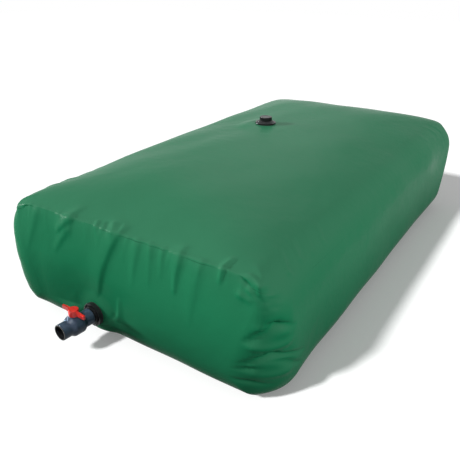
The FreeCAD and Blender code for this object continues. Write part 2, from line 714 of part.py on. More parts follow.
def corner_dents(sign_x, sign_y):
    """Level dents that cross one upright corner, where the wrap gathers round the end panel."""
    inset = value("corner_radius") * (1 - DIAGONAL)
    corner = FreeCAD.Vector(sign_x * (HALF_WIDTH - inset), sign_y * (HALF_LENGTH - inset), 0)
    outward = FreeCAD.Vector(sign_x, sign_y, 0).normalize()
    across = FreeCAD.Vector(-sign_y, sign_x, 0).normalize()
    dents = []
    # Height as a share of the seam's; half length, radius and depth in corner radii; and tilt
    for up, half, radius, depth, tilt in (
        (0.84, 0.49, 0.13, 0.07, 0.25),
        (0.66, 0.89, 0.23, 0.16, 0.18),
        (0.435, 1.14, 0.31, 0.20, 0.10),
        (0.22, 1.00, 0.23, 0.11, -0.05),
    ):
        half, radius, depth = (share * value("corner_radius") for share in (half, radius, depth))
        middle = corner + FreeCAD.Vector(0, 0, up * SEAM_LEVEL) + outward * (radius - depth)
        reach = across * half * sign_x * sign_y * -1 + FreeCAD.Vector(0, 0, -tilt * half)
        dents += [tapered(middle, end, radius, radius / 3) for end in (middle + reach, middle - reach)]
    return dents


def roll_puckers(sign_x, sign_y):
    """Slanting creases on the roll of a long edge, where the wrap gathers towards the end seam."""
    outward = FreeCAD.Vector(sign_x, 0, 1).normalize()
    inset = value("roll_radius") * (1 - DIAGONAL)
    creases = []
    # Distance from the end as a share of the half length; half length and depth of the crease in roll radii
    for back, half, depth in ((0.15, 0.48, 0.034), (0.23, 0.59, 0.048), (0.33, 0.48, 0.034)):
        half, depth = half * value("roll_radius"), depth * value("roll_radius")
        middle = FreeCAD.Vector(sign_x * (HALF_WIDTH - inset), sign_y * HALF_LENGTH * (1 - back), EDGE_LEVEL - inset)
        reach = FreeCAD.Vector(-sign_x * half * 0.6, sign_y * half * 0.5, half * 0.6)
        for end in (middle + reach, middle - reach):
            creases.append(crease(middle, end, outward, (0.25, 0.07), depth))
    return creases


def frame_point(frame, local):
    origin, rotation = frame
    return FreeCAD.Vector(*[value(text) for text in origin]) + rotation.multVec(FreeCAD.Vector(*local))


def standing(frame, radius, low, high):
    """A cylinder about a frame's Z."""
    axis = frame[1].multVec(FreeCAD.Vector(0, 0, 1))
    return Part.makeCylinder(radius, high - low, frame_point(frame, (0, 0, low)), axis)


def fitting_bulge(frame, pad):
    """The sheet drawn out into a shallow cone with a flat pad for a fitting."""
    foot = frame_point(frame, (0, 0, pad - value("pad_depth")))
    top = frame_point(frame, (0, 0, pad))
    radius = value("pad_radius")
    return tapered(foot, top, radius + value("pad_spread"), radius)


def fitting_pocket(frame, pad, flange_radius):
    """The flat seat outside, the way through the sheet, the flange's room and the open water behind it."""
    inner = pad - value("sheet_thickness")
    back = inner - value("gasket_thickness + flange_thickness + pocket_clearance")
    return [
        standing(frame, flange_radius + value("pocket_clearance"), pad, pad + OVERRUN),
        standing(frame, value(NUT_BORE), inner - OVERRUN / 10, pad + OVERRUN),
        standing(frame, flange_radius + value("pocket_clearance"), back, inner),
        standing(frame, value(BORE_RADIUS), back - value("inlet_depth"), back + OVERRUN / 10),
    ]


def bladder():
    ridges, dents = [], []
    for side in (-1, 1):
        hanging, pressed = end_folds(side)
        ridges += hanging + seam_puckers(side)
        dents += pressed
        for sign_x in (-1, 1):
            dents += corner_dents(sign_x, side) + roll_puckers(sign_x, side)
    bulges = [fitting_bulge(OUTLET, value("pad_rise")), fitting_bulge(VENT, 0)]
    bag = plan().common(wrap()).common(ends())
    for ridge in ridges:
        bag = bag.fuse(ridge)
    bag = bag.common(fall()).fuse(bulges)
    bag = bag.cut(dents)
    pockets = fitting_pocket(OUTLET, value("pad_rise"), value(OUTLET_RADIUS))
    pockets += fitting_pocket(VENT, 0, value(VENT_RADIUS))
    bag = bag.cut(pockets)
    solid = max(bag.Solids, key=lambda item: item.Volume)
    piece = document.addObject("Part::Feature", "bladder")
    piece.Label = "bladder"
    piece.Shape = solid
    return piece


def build():
    """Every sub-part at its place, as a list of document objects."""
    pieces = [bladder()]

    inner, outer = sheet_gaskets("outlet", OUTLET_RADIUS, "pad_rise")
    pieces += [place(item, OUTLET) for item in (
        inner,
        outer,
        clamped_spigot("outlet_spigot", OUTLET_RADIUS, "pad_rise", SPIGOT_END),
        outlet_ring_nut(),
        ring("socket_gasket", BORE_RADIUS, THREAD_RADIUS, SPIGOT_END, SOCKET_FLOOR),
        valve_body(),
        seat_ring("valve_rear_seat", -1),
        seat_ring("valve_front_seat", 1),
        seat_retainer(),
    )]
    retainer_ring = o_ring("retainer_o_ring", CHAMBER_RADIUS + " - groove_clearance", "0")
    pieces.append(place(retainer_ring, OUTLET, f"{STEM_AXIS} + {SEAT_BACK} + retainer_thickness / 2"))

    pieces += [place(item, STEM) for item in (valve_ball(), valve_stem(), valve_handle())]
    stem_rings = document.addObject("Part::Compound", "stem_o_rings")
    stem_rings.Label = "stem_o_rings"
    stem_rings.Links = [
        o_ring(f"stem_ring_{index}", STEM_BORE + " - groove_clearance", middle)
        for index, middle in enumerate(STEM_RINGS, start=1)
    ]
    pieces.append(place(stem_rings, STEM))

    inner, outer = sheet_gaskets("vent", VENT_RADIUS, "0")
    pieces += [place(item, VENT) for item in (
        inner,
        outer,
        clamped_spigot("vent_spigot", VENT_RADIUS, "0", "neck_height"),
        vent_ring_nut(),
        vent_cap(),
        ring("vent_cap_gasket", BORE_RADIUS, THREAD_RADIUS, "neck_height", CAP_CEILING),
    )]
    return pieces


def export(pieces):
    """Stops on a failed object or a bad shape, then writes one file for each sub-part."""
    document.recompute()
    for item in document.Objects:
        if "Invalid" in item.State or "Error" in item.State:
            raise RuntimeError(f"{item.Label} failed: {item.State}")
    for piece in pieces:
        if piece.Shape.isNull() or not piece.Shape.isValid():
            raise RuntimeError(f"{piece.Label} has a bad shape")
    os.makedirs(NODES_FOLDER, exist_ok=True)
    for piece in pieces:
        piece.Shape.exportStep(os.path.join(NODES_FOLDER, piece.Label + ".step"))
        box = piece.Shape.BoundBox
        print(f"{piece.Label}: {len(piece.Shape.Solids)} solid, {piece.Shape.Volume / 1000:.1f} cm3, "
              f"{box.XLength:.1f} x {box.YLength:.1f} x {box.ZLength:.1f} mm")


export(build())
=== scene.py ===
import json
import math

import bpy
import numpy as np
from mathutils import Matrix, Vector

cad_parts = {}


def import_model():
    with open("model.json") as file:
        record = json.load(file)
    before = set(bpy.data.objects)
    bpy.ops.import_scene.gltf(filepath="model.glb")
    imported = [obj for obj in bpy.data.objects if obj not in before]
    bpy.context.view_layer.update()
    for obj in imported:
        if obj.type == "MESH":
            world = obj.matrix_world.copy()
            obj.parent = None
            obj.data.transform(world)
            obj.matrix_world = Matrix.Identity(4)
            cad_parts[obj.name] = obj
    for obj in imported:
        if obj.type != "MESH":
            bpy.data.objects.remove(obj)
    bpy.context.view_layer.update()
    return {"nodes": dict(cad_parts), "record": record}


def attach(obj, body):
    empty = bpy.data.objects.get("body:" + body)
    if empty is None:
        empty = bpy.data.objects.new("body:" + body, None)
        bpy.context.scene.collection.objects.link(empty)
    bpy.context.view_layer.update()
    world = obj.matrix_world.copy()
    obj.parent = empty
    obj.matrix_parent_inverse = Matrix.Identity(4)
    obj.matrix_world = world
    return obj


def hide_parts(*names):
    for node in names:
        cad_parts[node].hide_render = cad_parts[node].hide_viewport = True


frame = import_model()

# Sizes in metres, in the frame's own axes: X across, -Y towards the valve, Z up
HALF_LENGTH = 1.0
HALF_WIDTH = 0.565
TOP = 0.533
EDGE_LEVEL = 0.473
SEAM_LEVEL = 0.453
ROLL = 0.145
TOP_CORNER = 0.060
LOW_CORNER = 0.150
TUCK_HEIGHT = 0.111
TUCK_SIDE = 0.097
TUCK_END = 0.108
END_RUN = 0.480
END_BELLY = 0.018
SIDE_BELLY = 0.004
LEFT_BELLY = 0.019
LEFT_SHOULDER = 0.007
CORNER_STAND = 0.014
FAR_LIFT = 0.016
LEFT_LIFT = 0.014

OUTLET = np.array([-0.146, -1.0, 0.112])
OUTLET_YAW = math.radians(5)
OUTLET_AXIS = np.array([-math.sin(OUTLET_YAW), -math.cos(OUTLET_YAW), 0])
OUTLET_PAD = 0.005
VENT = np.array([-0.160, 0.202, 0.526])
UP = np.array([0.0, 0.0, 1.0])
PAD_RADIUS = 0.050
OUTLET_BLEND = 0.060
VENT_BLEND = 0.100
SPIGOT_HOLE = 0.034
PAD_SINK = 0.0005

# Form of the sheet and its folds
CROWN_CLEARANCE = 0.003
LEVEL_BLEND = 0.03
FOLD_FALLOFF = 2.2
PUCKER_COUNT = 40
FAR_END_GATHER = 0.25
PLAIN_CORNER_GATHER = 0.10
HEAD_LEAN = 0.012
HEAD_LEAN_FADE = 0.040
CREASE_FROM = 0.43
BASE_STEPS = 88
WALL_STEPS = 48
TOP_STEPS = 88

# Valve's mouth and cap's top, along each fitting's own axis
VALVE_MOUTH = 0.152
MOUTH_RIM = 0.0281
MOUTH_BORE = 0.024
MOUTH_DEPTH = 0.025
THREAD_PITCH = 0.0023
CAP_TOP = 0.0315
CAP_RIM = 0.0280

# Sheet's colours in linear red, green and blue, and its gloss
SHEET_DARKER = (0.010, 0.190, 0.081)
SHEET_LIGHTER = (0.015, 0.220, 0.097)
# Painted shade: the colour the sheet darkens to at the ground, fading out over its lowest stretch
SHEET_PAINTED_FOOT_SHADE = (0.010, 0.085, 0.040)
# Painted sheen: the paler colour the sheet turns to where it faces up
SHEET_PAINTED_TOP_SHEEN = (0.042, 0.198, 0.104)
# Painted shadow: a faint dark line just under the end seams, for the shade under the welded overlap's edge
SHEET_SEAM_SHADOW = (0.006, 0.050, 0.025)
# How high the painted shade near the ground reaches
FOOT_SHADE_HEIGHT = 0.30
# How far under the seam the painted shadow line lies, and how far it reaches to either side
SEAM_SHADOW_DROP = 0.004
SEAM_SHADOW_REACH = 0.0011
SHEET_SPECULAR = 0.008
SHEET_GLOSS = (0.21, 0.29)

# Floor and sky
FLOOR_HALF = 14.0
FLOOR_WHITE = 0.86
FLOOR_BOUNCE = 0.05
FLOOR_GLOW = 0.20
SKY = 0.27

# Lamps: the way the light runs, its strength, and its spread in degrees
KEY = ((0.88, 0.42, -0.27), 2.8, 7)
FILL = ((-0.78, 0.25, -0.50), 2.0, 25)
OVER = ((0.10, 0.45, -0.88), 2.4, 25)
RAKE = ((0.97, 0.20, -0.05), 1.3, 8)
BACK = ((0.395, -0.74, -0.53), 0.35, 28)
FLOOR_SUN = ((0.32, 0.94, -0.80), 4.1, 6)

CAMERA_PLACE = Vector((1.08676, -2.04882, 1.19335))
CAMERA_TARGET = Vector((0.05699, -0.45044, 0.26642))
CAMERA_LENS = 41.49
CAMERA_ROLL = math.radians(0.42)


def smooth(low, high, x):
    t = np.clip((x - low) / (high - low), 0, 1)
    return t * t * (3 - 2 * t)


def soft_min(a, b, blend):
    h = np.clip(0.5 + 0.5 * (b - a) / blend, 0, 1)
    return b + (a - b) * h - blend * h * (1 - h)


# Bag sheet before its folds

def half_section():
    """Points (x, z) of the right half, from the middle of the base to the middle of the top."""
    rise = TOP - EDGE_LEVEL
    slope = 0.0
    for _ in range(30):
        slope = 2 * math.atan(rise / (HALF_WIDTH - ROLL * (1 - math.sin(slope))))
    flat = HALF_WIDTH - ROLL * (1 - math.sin(slope))
    foot = EDGE_LEVEL - ROLL * math.cos(slope)
    tuck_steps = BASE_STEPS // 3
    roll_steps = TOP_STEPS // 4
    tuck = np.linspace(0, math.pi / 2, tuck_steps, endpoint=False)
    turn = np.linspace(0, math.pi / 2 - slope, roll_steps, endpoint=False)
    across = np.linspace(flat, 0, TOP_STEPS - roll_steps + 1)
    radius = (flat ** 2 + rise ** 2) / (2 * rise)
    x = np.concatenate([
        np.linspace(0, HALF_WIDTH - TUCK_SIDE, BASE_STEPS - tuck_steps, endpoint=False),
        HALF_WIDTH - TUCK_SIDE * (1 - np.sin(tuck)),
        np.full(WALL_STEPS, HALF_WIDTH),
        HALF_WIDTH - ROLL * (1 - np.cos(turn)),
        across,
    ])
    z = np.concatenate([
        np.zeros(BASE_STEPS - tuck_steps),
        TUCK_HEIGHT * (1 - np.cos(tuck)),
        np.linspace(TUCK_HEIGHT, foot, WALL_STEPS, endpoint=False),
        foot + ROLL * np.sin(turn),
        TOP - radius + np.sqrt(radius ** 2 - across ** 2),
    ])
    return x, z


def top_level(end):
    """How high the top may stand at a distance from the end seam."""
    top = TOP + CROWN_CLEARANCE
    drop = top - SEAM_LEVEL
    radius = (END_RUN ** 2 + drop ** 2) / (2 * drop)
    run = np.clip(END_RUN - end, 0, None)
    return top - radius + np.sqrt(radius ** 2 - run ** 2)


def stations():
    """Places along the bag, close together at both ends, where the sheet folds."""
    tuck = TUCK_END * (1 - np.cos(np.linspace(0, math.pi / 2, 17)))
    near = np.linspace(TUCK_END, 0.42, 44)[1:]
    far = np.linspace(0.42, HALF_LENGTH, 26)[1:]
    half = np.concatenate([tuck, near, far]) - HALF_LENGTH
    return np.concatenate([half, -half[-2::-1]])


def corner_radius(z):
    """The upright corners are tight at the seam and round near the ground."""
    return TOP_CORNER + (LOW_CORNER - TOP_CORNER) * smooth(SEAM_LEVEL, 0.08, z)


def corner_inset(end, radius):
    """How far the rounded upright corner draws the wall in."""
    reach = np.clip(radius - end, 0, None)
    return radius - np.sqrt(radius ** 2 - reach ** 2)


def foot_level(end):
    """How high the tuck at the ends lifts the base."""
    reach = np.clip((TUCK_END - end) / TUCK_END, 0, 1)
    return TUCK_HEIGHT * (1 - np.sqrt(1 - reach ** 2))


def wrap_grid():
    """The wrap sheet's points as an array (station, place round the section, xyz)."""
    x, z = half_section()
    x = np.concatenate([x, -x[-2:0:-1]])
    z = np.concatenate([z, z[-2:0:-1]])
    y = stations()
    end = HALF_LENGTH - np.abs(y)
    grid = np.zeros((len(y), len(x), 3))
    inset = corner_inset(end[:, None], corner_radius(z)[None, :])
    grid[..., 0] = x[None, :] * (1 - inset / HALF_WIDTH)
    grid[..., 1] = y[:, None]
    level = soft_min(z[None, :], top_level(end)[:, None], LEVEL_BLEND)
    grid[..., 2] = np.maximum(level, foot_level(end)[:, None])
    step = np.hypot(np.gradient(x), np.gradient(z))
    facing_up = np.abs(np.gradient(x)) / step * (z > EDGE_LEVEL - ROLL)
    return grid, np.broadcast_to(facing_up, grid.shape[:2])


def end_panel(loop):
    """A patch of points inside the wrap's end loop, which starts at the middle of the base."""
    low, side, high = 2 * BASE_STEPS, WALL_STEPS, 2 * TOP_STEPS
    loop = np.roll(loop, BASE_STEPS, axis=0)
    upright = np.linspace(0, 1, side + 1)[:, None, None]
    level = np.linspace(0, 1, high + 1)[None, :, None]
    foot = loop[:low + 1]
    right = loop[low:low + side + 1]
    head = loop[low + side:low + side + high + 1][::-1]
    left = np.concatenate([loop[low + side + high:], loop[:1]])[::-1]
    sheet = (1 - upright) * foot[None] + upright * head[None]
    sheet += (1 - level) * left[:, None] + level * right[:, None]
    sheet -= (1 - level) * ((1 - upright) * left[0] + upright * left[-1])
    sheet -= level * ((1 - upright) * right[0] + upright * right[-1])
    return sheet


def grid_faces(rows, columns, first=0, closed=False, flip=False):
    faces = []
    for i in range(rows - 1):
        for j in range(columns if closed else columns - 1):
            k = (j + 1) % columns
            face = (first + i * columns + j, first + i * columns + k,
                    first + (i + 1) * columns + k, first + (i + 1) * columns + j)
            faces.append(face[::-1] if flip else face)
    return faces


# Folds. At each end the sheet is unrolled: across along X, and up the end panel and on over the seam

def ridge(across, up, start, end, widths, heights, skew=0.0):
    """A fold from start to end, its height and width changing along it; skew steepens its right side."""
    start, end = np.array(start), np.array(end)
    run = end - start
    length = np.hypot(*run)
    share = ((across - start[0]) * run[0] + (up - start[1]) * run[1]) / length ** 2
    aside = ((across - start[0]) * run[1] - (up - start[1]) * run[0]) / length
    along = np.clip(share, 0, 1)
    width = widths[0] + (widths[1] - widths[0]) * along
    height = heights[0] + (heights[1] - heights[0]) * along
    beyond = (share - along) * length / width
    lean = np.where(aside < 0, 1 + skew, 1 - 0.5 * skew)
    q = np.hypot(aside * lean / width, beyond)
    return height * np.exp(-q ** 2 * FOLD_FALLOFF)


def fold(across, up, places, widths, heights, skew=0.0):
    """A fold along a bent line, with a width and a height at each place; a height below 0 is a dent."""
    total = np.zeros_like(across)
    for k in range(len(places) - 1):
        piece = ridge(across, up, places[k], places[k + 1], widths[k:k + 2], heights[k:k + 2], skew)
        total = np.where(np.abs(piece) > np.abs(total), piece, total)
    return total


def end_folds(across, up):
    """Height of the main folds over the end panel and the edge of the top."""
    total = np.zeros_like(across)
    for places, widths, heights, skew in (
        # The broad fold from the seam down to the outlet
        (((-0.006, 0.470), (-0.050, 0.380), (-0.085, 0.300), (-0.115, 0.215), (-0.142, 0.160)),
         (0.036, 0.034, 0.028, 0.020, 0.012), (0.009, 0.007, 0.006, 0.004, 0.002), 1.2),
        # The slanting fold over the seam on the left, and the soft one that it runs out in
        (((-0.218, 0.500), (-0.230, 0.452), (-0.284, 0.400)),
         (0.024, 0.028, 0.018), (0.004, 0.010, 0.004), 0.7),
        (((-0.240, 0.410), (-0.300, 0.325)), (0.030, 0.016), (0.006, 0.002), 0.4),
        # The tapering fold under the seam on the right, and the soft one below it
        (((0.232, 0.480), (0.232, 0.430), (0.222, 0.335)),
         (0.024, 0.024, 0.008), (0.005, 0.008, 0.003), 0.8),
        (((0.300, 0.430), (0.277, 0.250)), (0.045, 0.020), (0.004, 0.001), 0.4),
        # The hook
        (((0.392, 0.498), (0.384, 0.466), (0.380, 0.420)),
         (0.012, 0.013, 0.008), (0.005, 0.009, 0.003), 0.6),
        # Gathers round the top of the broad fold
        (((-0.118, 0.470), (-0.098, 0.425)), (0.012, 0.008), (0.006, 0.002), 0.0),
        (((-0.080, 0.482), (-0.062, 0.440)), (0.010, 0.008), (-0.006, -0.002), 0.0),
        (((-0.055, 0.486), (-0.035, 0.448)), (0.010, 0.008), (0.006, 0.002), 0.0),
        (((-0.030, 0.490), (-0.012, 0.452)), (0.009, 0.008), (-0.006, -0.002), 0.0),
        # The crease that starts under the outlet's flange on the right
        (((-0.105, 0.090), (-0.060, 0.110), (-0.030, 0.150), (-0.020, 0.215)),
         (0.012, 0.018, 0.018, 0.010), (0.003, 0.008, 0.007, 0.002), 0.6),
        (((-0.085, 0.100), (-0.050, 0.130)), (0.012, 0.014), (-0.006, -0.005), 0.0),
        # Soft folds that hang from the seam
        (((-0.400, 0.430), (-0.440, 0.300)), (0.034, 0.016), (0.004, 0.001), 0.3),
        (((0.070, 0.440), (0.050, 0.300)), (0.024, 0.014), (0.004, 0.001), 0.3),
        (((0.120, 0.440), (0.122, 0.330)), (0.018, 0.012), (0.003, 0.001), 0.3),
        (((0.169, 0.445), (0.168, 0.370)), (0.013, 0.010), (0.003, 0.001), 0.3),
    ):
        total += fold(across, up, places, widths, heights, skew)
    return total


def seam_puckers(across, up):
    """Fine uneven gathers that hang from an end seam."""
    total = np.zeros_like(across)
    for index in range(PUCKER_COUNT):
        place = -0.50 + 1.0 * (index + 0.35 * math.sin(index * 1.7)) / (PUCKER_COUNT - 1)
        uneven = 0.5 + 0.5 * math.sin(index * 2.4 + 0.6)
        length = 0.020 + 0.060 * uneven
        slant = 0.3 * math.sin(index * 1.1) * length
        width = 0.008 + 0.006 * (0.5 + 0.5 * math.cos(index * 3.1))
        total += ridge(across, up, (place, SEAM_LEVEL + 0.004), (place + slant, SEAM_LEVEL - length),
                       (width, width * 0.8), (0.0005 + 0.0018 * uneven ** 2, 0.0002))
    return total


def lens(across, up, places, width, depth, skew=0.9):
    """A dent along a bent line, deepest at its middle place, with a steep upper side."""
    half = len(places) // 2
    shares = [1 - abs(k - half) / (half + 0.25) for k in range(len(places))]
    widths = [width * (0.35 + 0.65 * share) for share in shares]
    return fold(across, up, places, widths, [-depth * share for share in shares], skew)


def corner_folds(around, up):
    """Dents and bulges that cross one upright corner; around is 0 at the corner's middle,
    negative on the end panel and positive on the long side."""
    total = np.zeros_like(around)
    for places, width, depth in (
        (((-0.070, 0.262), (-0.036, 0.296), (0.000, 0.326), (0.030, 0.322), (0.066, 0.300)), 0.022, 0.020),
        (((-0.085, 0.172), (-0.040, 0.205), (0.000, 0.222), (0.060, 0.200), (0.130, 0.166)), 0.018, 0.019),
        (((-0.040, 0.190), (0.010, 0.196), (0.050, 0.178), (0.095, 0.140), (0.128, 0.118)), 0.012, 0.010),
        (((-0.100, 0.148), (-0.060, 0.166), (-0.030, 0.172)), 0.010, 0.007),
        (((-0.030, 0.392), (0.006, 0.404), (0.040, 0.396)), 0.008, 0.008),
        (((-0.030, 0.375), (0.004, 0.386), (0.034, 0.378)), 0.006, 0.006),
        (((-0.034, 0.408), (0.000, 0.422), (0.026, 0.420)), 0.006, 0.005),
        (((-0.110, 0.108), (-0.050, 0.112), (0.020, 0.096)), 0.012, 0.007),
    ):
        total = np.minimum(total, lens(around, up, places, width, depth))
    for start, end, widths, heights in (
        ((-0.030, 0.312), (0.030, 0.300), (0.026, 0.030), (0.004, 0.006)),
        ((-0.050, 0.246), (0.040, 0.256), (0.020, 0.022), (0.006, 0.006)),
        ((-0.040, 0.140), (0.050, 0.136), (0.026, 0.026), (0.005, 0.006)),
    ):
        total += ridge(around, up, start, end, widths, heights)
    return total


def pinch(across, up):
    """The gather where seam, corner and top meet, with its curved rim."""
    total = ridge(across, up, (0.462, 0.462), (0.500, 0.462), (0.012, 0.010), (0.006, 0.009))
    total += ridge(across, up, (0.500, 0.462), (0.524, 0.430), (0.010, 0.008), (0.009, 0.006))
    total += lens(across, up, ((0.440, 0.448), (0.475, 0.440), (0.505, 0.418)), 0.012, 0.012)
    total += ridge(across, up, (0.470, 0.424), (0.500, 0.412), (0.012, 0.010), (0.006, 0.006))
    total += ridge(across, up, (0.446, 0.400), (0.478, 0.392), (0.014, 0.012), (0.005, 0.003))
    return total


def roll_folds(end, over):
    """Slanting puckers over a long edge: end is the distance from the end seam and over the distance
    round the roll from the wall, both in metres."""
    total = np.zeros_like(end)
    for start, finish, widths, heights in (
        ((0.010, 0.120), (0.060, 0.190), (0.012, 0.009), (0.004, 0.002)),
        ((0.030, 0.110), (0.080, 0.175), (0.009, 0.008), (-0.003, -0.001)),
        ((0.125, 0.115), (0.170, 0.185), (0.011, 0.008), (0.006, 0.002)),
        ((0.150, 0.110), (0.195, 0.175), (0.009, 0.008), (-0.005, -0.002)),
        ((0.205, 0.120), (0.245, 0.190), (0.010, 0.008), (0.006, 0.002)),
        ((0.235, 0.115), (0.275, 0.175), (0.008, 0.008), (-0.004, -0.001)),
        ((0.275, 0.110), (0.330, 0.175), (0.010, 0.009), (0.003, 0.001)),
        ((0.360, 0.115), (0.400, 0.165), (0.010, 0.008), (0.003, 0.001)),
        ((0.385, 0.110), (0.425, 0.160), (0.009, 0.008), (-0.002, -0.001)),
        ((0.520, 0.100), (0.560, 0.150), (0.012, 0.010), (0.0025, 0.001)),
        ((0.640, 0.100), (0.690, 0.150), (0.014, 0.014), (0.0015, 0.001)),
    ):
        total += ridge(end, over, start, finish, widths, heights)
    return total


def waves(points):
    """Broad uneven swell of the water-filled sheet."""
    x, y, z = points[..., 0], points[..., 1], points[..., 2]
    return (0.0016 * np.sin(7.3 * x + 2.1 * y + 0.4) * np.sin(5.2 * y + 1.3 * z)
            + 0.0010 * np.sin(15.1 * y + 4.2 * x + 9 * z)
            + 0.0008 * np.sin(23.0 * x - 11.0 * y + 17 * z + 1.1))


def pulled_to_pad(points, origin, axis, pad, blend):
    """Draws the sheet flat under a fitting's flange."""
    local = points - origin
    along = local @ axis
    aside = np.linalg.norm(local - along[..., None] * axis, axis=-1)
    pull = smooth(PAD_RADIUS + blend, PAD_RADIUS, aside) * (np.abs(along) < 0.1)
    pull *= smooth(0.010, 0.055, points[:, 2])
    return points + ((pad - PAD_SINK - along) * pull)[..., None] * axis


def near_fitting(points, origin, axis):
    local = points - origin
    along = local @ axis
    aside = np.linalg.norm(local - along[..., None] * axis, axis=-1)
    return (aside < SPIGOT_HOLE) & (np.abs(along) < 0.05)


def folded(points, normals, on_panel, crown):
    """The sheet's points moved along their normals by the folds that reach them."""
    x, y, z = points.T
    handed = np.where(y < 0, 1.0, -1.0)
    end = np.where(on_panel, 0.0, HALF_LENGTH - np.abs(y))
    top = np.where(on_panel, 0.0, smooth(0.35, 0.75, crown))
    radius = corner_radius(z)
    turn = np.arccos(np.clip(1 - end / radius, 0, 1))
    arc = radius * turn + np.clip(end - radius, 0, None)
    edge = HALF_WIDTH - radius
    sideways = np.where(on_panel, np.abs(x), top * np.abs(x) + (1 - top) * (edge + arc))
    across = np.sign(x) * handed * sideways
    up = np.where(on_panel, z, top * (SEAM_LEVEL + end) + (1 - top) * z)
    around = np.where(on_panel, np.abs(x) - edge, arc) - radius * math.pi / 4
    over = np.arctan2(z - (EDGE_LEVEL - ROLL), np.abs(x) - (HALF_WIDTH - ROLL)) * ROLL
    # The corner to the right of the valve is gathered most
    gather = np.where(across > 0, 1.0, PLAIN_CORNER_GATHER)
    # The valve's end is gathered more than the other
    near = np.where(y < 0, 1.0, FAR_END_GATHER)
    at_end = near * smooth(0.30, 0.10, end)
    total = at_end * (end_folds(across, up) + seam_puckers(across, up))
    total += at_end * gather * (pinch(across, up) + pinch(-across, up))
    reach = smooth(0.32, 0.16, end) * smooth(0.25, 0.38, np.abs(x))
    total += near * gather * (1 - top) * reach * corner_folds(around, z)
    on_roll = smooth(0.36, 0.44, np.abs(x)) * smooth(0.25, 0.33, z)
    total += np.where(on_panel, 0.0, near * on_roll * roll_folds(end, over))
    belly = np.sin(np.clip(z / SEAM_LEVEL, 0, 1) ** 0.85 * math.pi)
    from_outlet = np.hypot(across - OUTLET[0], z - OUTLET[2])
    at_corner = SIDE_BELLY + (END_BELLY - SIDE_BELLY) * smooth(0.35, 0.0, end)
    total += belly * at_corner * np.where(on_panel, smooth(0.04, 0.26, from_outlet), 1 - top)
    # The left corner beside the valve hangs out low down
    low_belly = np.sin(np.clip(z / SEAM_LEVEL, 0, 1) ** 0.62 * math.pi)
    hang = LEFT_BELLY * low_belly * smooth(0.01, 0.09, z) - LEFT_SHOULDER * smooth(0.28, 0.42, z)
    total += hang * (1 - top) * smooth(-0.38, -0.52, x) * smooth(-0.40, -0.85, y)
    total += waves(points)
    total *= smooth(0.015, 0.060, z)
    moved = points + normals * total[:, None]
    # The head of the end panel leans in
    lean = HEAD_LEAN * np.exp(-np.clip(SEAM_LEVEL - z, 0, None) / HEAD_LEAN_FADE) * smooth(0.06, 0.0, end)
    moved[:, 1] -= np.sign(y) * lean * (1 - smooth(0.47, 0.53, np.abs(x)))
    # The far end and the left side stand a little higher
    lift = FAR_LIFT * smooth(0.2, 1.0, y) * (1 - 0.4 * smooth(0.1, 0.5, np.abs(x)))
    lift += LEFT_LIFT * smooth(0.25, 0.50, -x) * smooth(-0.95, -0.2, y) * smooth(0.95, 0.35, y)
    moved[:, 2] += lift * np.clip(z / SEAM_LEVEL, 0, 1) ** 2
    # The foot of the left corner stands a little off the ground
    stand = CORNER_STAND * smooth(0.25, 0.05, z)
    moved[:, 2] += stand * smooth(-0.34, -0.52, x) * smooth(-0.80, -0.97, y)
    return moved, across, up


def bag_mesh():
    """The sheet as points and faces: the wrap, both end panels, and a hole under each fitting."""
    grid, facing_up = wrap_grid()
    rows, around = grid.shape[:2]
    points = [grid.reshape(-1, 3)]
    faces = grid_faces(rows, around, closed=True, flip=True)
    count = rows * around
    for row, flip in ((0, False), (rows - 1, True)):
        panel = end_panel(grid[row])
        faces += grid_faces(panel.shape[0], panel.shape[1], first=count, flip=flip)
        points.append(panel.reshape(-1, 3))
        count += panel.shape[0] * panel.shape[1]
    points = np.concatenate(points)
    crown = np.zeros(len(points))
    crown[:rows * around] = facing_up.reshape(-1)
    on_panel = np.abs(points[:, 1]) > HALF_LENGTH - 1e-6
    on_seam = np.zeros(len(points), bool)
    on_seam[:around] = on_seam[(rows - 1) * around:rows * around] = True
    return points, faces, on_panel, crown, on_seam


def vertex_normals(points, faces):
    corners = points[np.array(faces)]
    normal = np.cross(corners[:, 2] - corners[:, 0], corners[:, 3] - corners[:, 1])
    total = np.zeros_like(points)
    for k in range(4):
        np.add.at(total, np.array(faces)[:, k], normal)
    return total / np.maximum(np.linalg.norm(total, axis=1, keepdims=True), 1e-12)


def merged(points, faces, *others):
    """Joins points at the same place, so the end panels and the wrap share their seam."""
    keys = np.round(points * 1e6).astype(np.int64)
    kept, first, back = np.unique(keys, axis=0, return_index=True, return_inverse=True)
    back = back.reshape(-1)
    joined = []
    for face in faces:
        ring = list(dict.fromkeys(back[k] for k in face))
        if len(ring) > 2:
            joined.append(tuple(ring) + (ring[-1],) * (4 - len(ring)))
    return points[first], joined, *(other[first] for other in others)


def mesh_object(name, points, faces, *materials):
    mesh = bpy.data.meshes.new(name)
    mesh.from_pydata([tuple(p) for p in points], [], [tuple(dict.fromkeys(face)) for face in faces])
    mesh.polygons.foreach_set("use_smooth", [True] * len(mesh.polygons))
    for material in materials:
        mesh.materials.append(material)
    mesh.update()
    item = bpy.data.objects.new(name, mesh)
    bpy.context.scene.collection.objects.link(item)
    return item


def near_soft_folds(across):
    """Where a fold runs over the seam, so that its crease is lost."""
    soft = np.zeros(len(across), bool)
    for low, high in ((-0.30, -0.17), (-0.115, 0.035), (0.195, 0.255), (0.365, 0.425), (0.455, 0.56)):
        soft |= (across > low) & (across < high)
    return soft


def crease(mesh, picked):
    """Keeps the shading apart on both sides of the edges that join two picked points."""
    ends = np.zeros(2 * len(mesh.edges), np.int32)
    mesh.edges.foreach_get("vertices", ends)
    sharp = picked[ends].reshape(-1, 2).all(axis=1)
    mesh.attributes.new("sharp_edge", "BOOLEAN", "EDGE").data.foreach_set("value", sharp)


